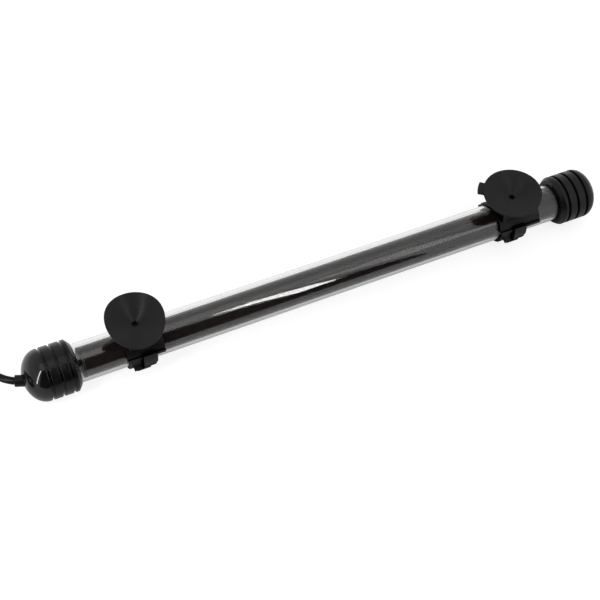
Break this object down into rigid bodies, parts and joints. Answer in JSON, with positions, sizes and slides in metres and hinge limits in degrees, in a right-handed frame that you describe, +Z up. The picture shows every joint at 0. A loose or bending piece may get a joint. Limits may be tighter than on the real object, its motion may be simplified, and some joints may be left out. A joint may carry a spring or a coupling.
{
  "type": "submersible aquarium heater",
  "caption": "Straight clear-tube submersible aquarium heater with a dark inner sleeve, grooved domed end caps, sliding tube clips with suction cups, and a mains lead tied in a hank.",
  "frame": {"origin": "on the surface that the caps rest on, under the middle of the heater between the tips of its two domes, without the lead", "axes": "+X along the tube from the lead's end to the closed end, +Y to the hinge side of the clips, +Z up, the way the suction cups face"},
  "size_m": [0.6427, 0.0613, 0.0538],
  "materials": {
    "clear_glass": "clear, polished",
    "cap_plastic": "glossy black moulding",
    "seal_rubber": "matte black",
    "sleeve_black": "glossy black-brown",
    "sleeve_plug": "matte black",
    "core_ceramic": "unglazed",
    "resistance_wire": "drawn wire",
    "contact_brass": "stamped",
    "wire_insulation": "silicone",
    "base_laminate": "laminate",
    "bimetal": "rolled",
    "pin_steel": "drawn",
    "lead_sheath": "satin black sheath",
    "tie_band": "matte black",
    "plug_plastic": "fine-textured black",
    "prong_metal": "nickel-plated",
    "clip_plastic": "satin black moulding",
    "cup_rubber": "matte black"
  },
  "bodies": {
    "heater": {"glass_tube": "clear_glass", "cable_cap": "cap_plastic", "closed_cap": "cap_plastic", "o_ring_cable": "seal_rubber", "o_ring_closed": "seal_rubber", "bung_cable": "seal_rubber", "bung_closed": "seal_rubber", "inner_sleeve": "sleeve_black", "sleeve_plug_cable": "sleeve_plug", "sleeve_plug_closed": "sleeve_plug", "ceramic_core": "core_ceramic", "heating_coil": "resistance_wire", "core_spacer_cable": "core_ceramic", "core_spacer_closed": "core_ceramic", "end_link": "contact_brass", "return_wire": "wire_insulation", "thermostat_base": "base_laminate", "bimetal_blade": "bimetal", "contact_strip": "contact_brass", "contact_screw": "pin_steel", "thermal_fuse": "bimetal", "lead_wires": "wire_insulation", "cable_gland": "seal_rubber", "cord_lead": "lead_sheath", "cord_hank": "lead_sheath", "cord_tail": "lead_sheath", "cord_tie": "tie_band", "plug_body": "plug_plastic", "plug_pins": "prong_metal"},
    "left_clip": {"left_saddle": "clip_plastic", "left_hinge_pin": "pin_steel"},
    "left_clip_jaw": {"left_jaw": "clip_plastic"},
    "left_suction_cup": {"left_cup": "cup_rubber"},
    "right_clip": {"right_saddle": "clip_plastic", "right_hinge_pin": "pin_steel"},
    "right_clip_jaw": {"right_jaw": "clip_plastic"},
    "right_suction_cup": {"right_cup": "cup_rubber"}
  },
  "joints": [
    {"name": "left_clip_slide", "type": "slide", "parent": "heater", "child": "left_clip", "axis": [1, 0, 0], "range_m": [-0.032, 0.115]},
    {"name": "left_jaw_hinge", "type": "hinge", "parent": "left_clip", "child": "left_clip_jaw", "pos_m": [-0.1496, 0.0175, 0.01398], "axis": [1, 0, 0], "range_deg": [0, 100]},
    {"name": "left_cup_swivel", "type": "hinge", "parent": "left_clip", "child": "left_suction_cup", "pos_m": [-0.1496, 0, 0.05], "axis": [0, 0, 1], "continuous": true},
    {"name": "right_clip_slide", "type": "slide", "parent": "heater", "child": "right_clip", "axis": [1, 0, 0], "range_m": [-0.12, 0.018]},
    {"name": "right_jaw_hinge", "type": "hinge", "parent": "right_clip", "child": "right_clip_jaw", "pos_m": [0.1524, 0.0175, 0.01398], "axis": [1, 0, 0], "range_deg": [0, 100]},
    {"name": "right_cup_swivel", "type": "hinge", "parent": "right_clip", "child": "right_suction_cup", "pos_m": [0.1537, 0, 0.05], "axis": [0, 0, 1], "continuous": true}
  ]
}
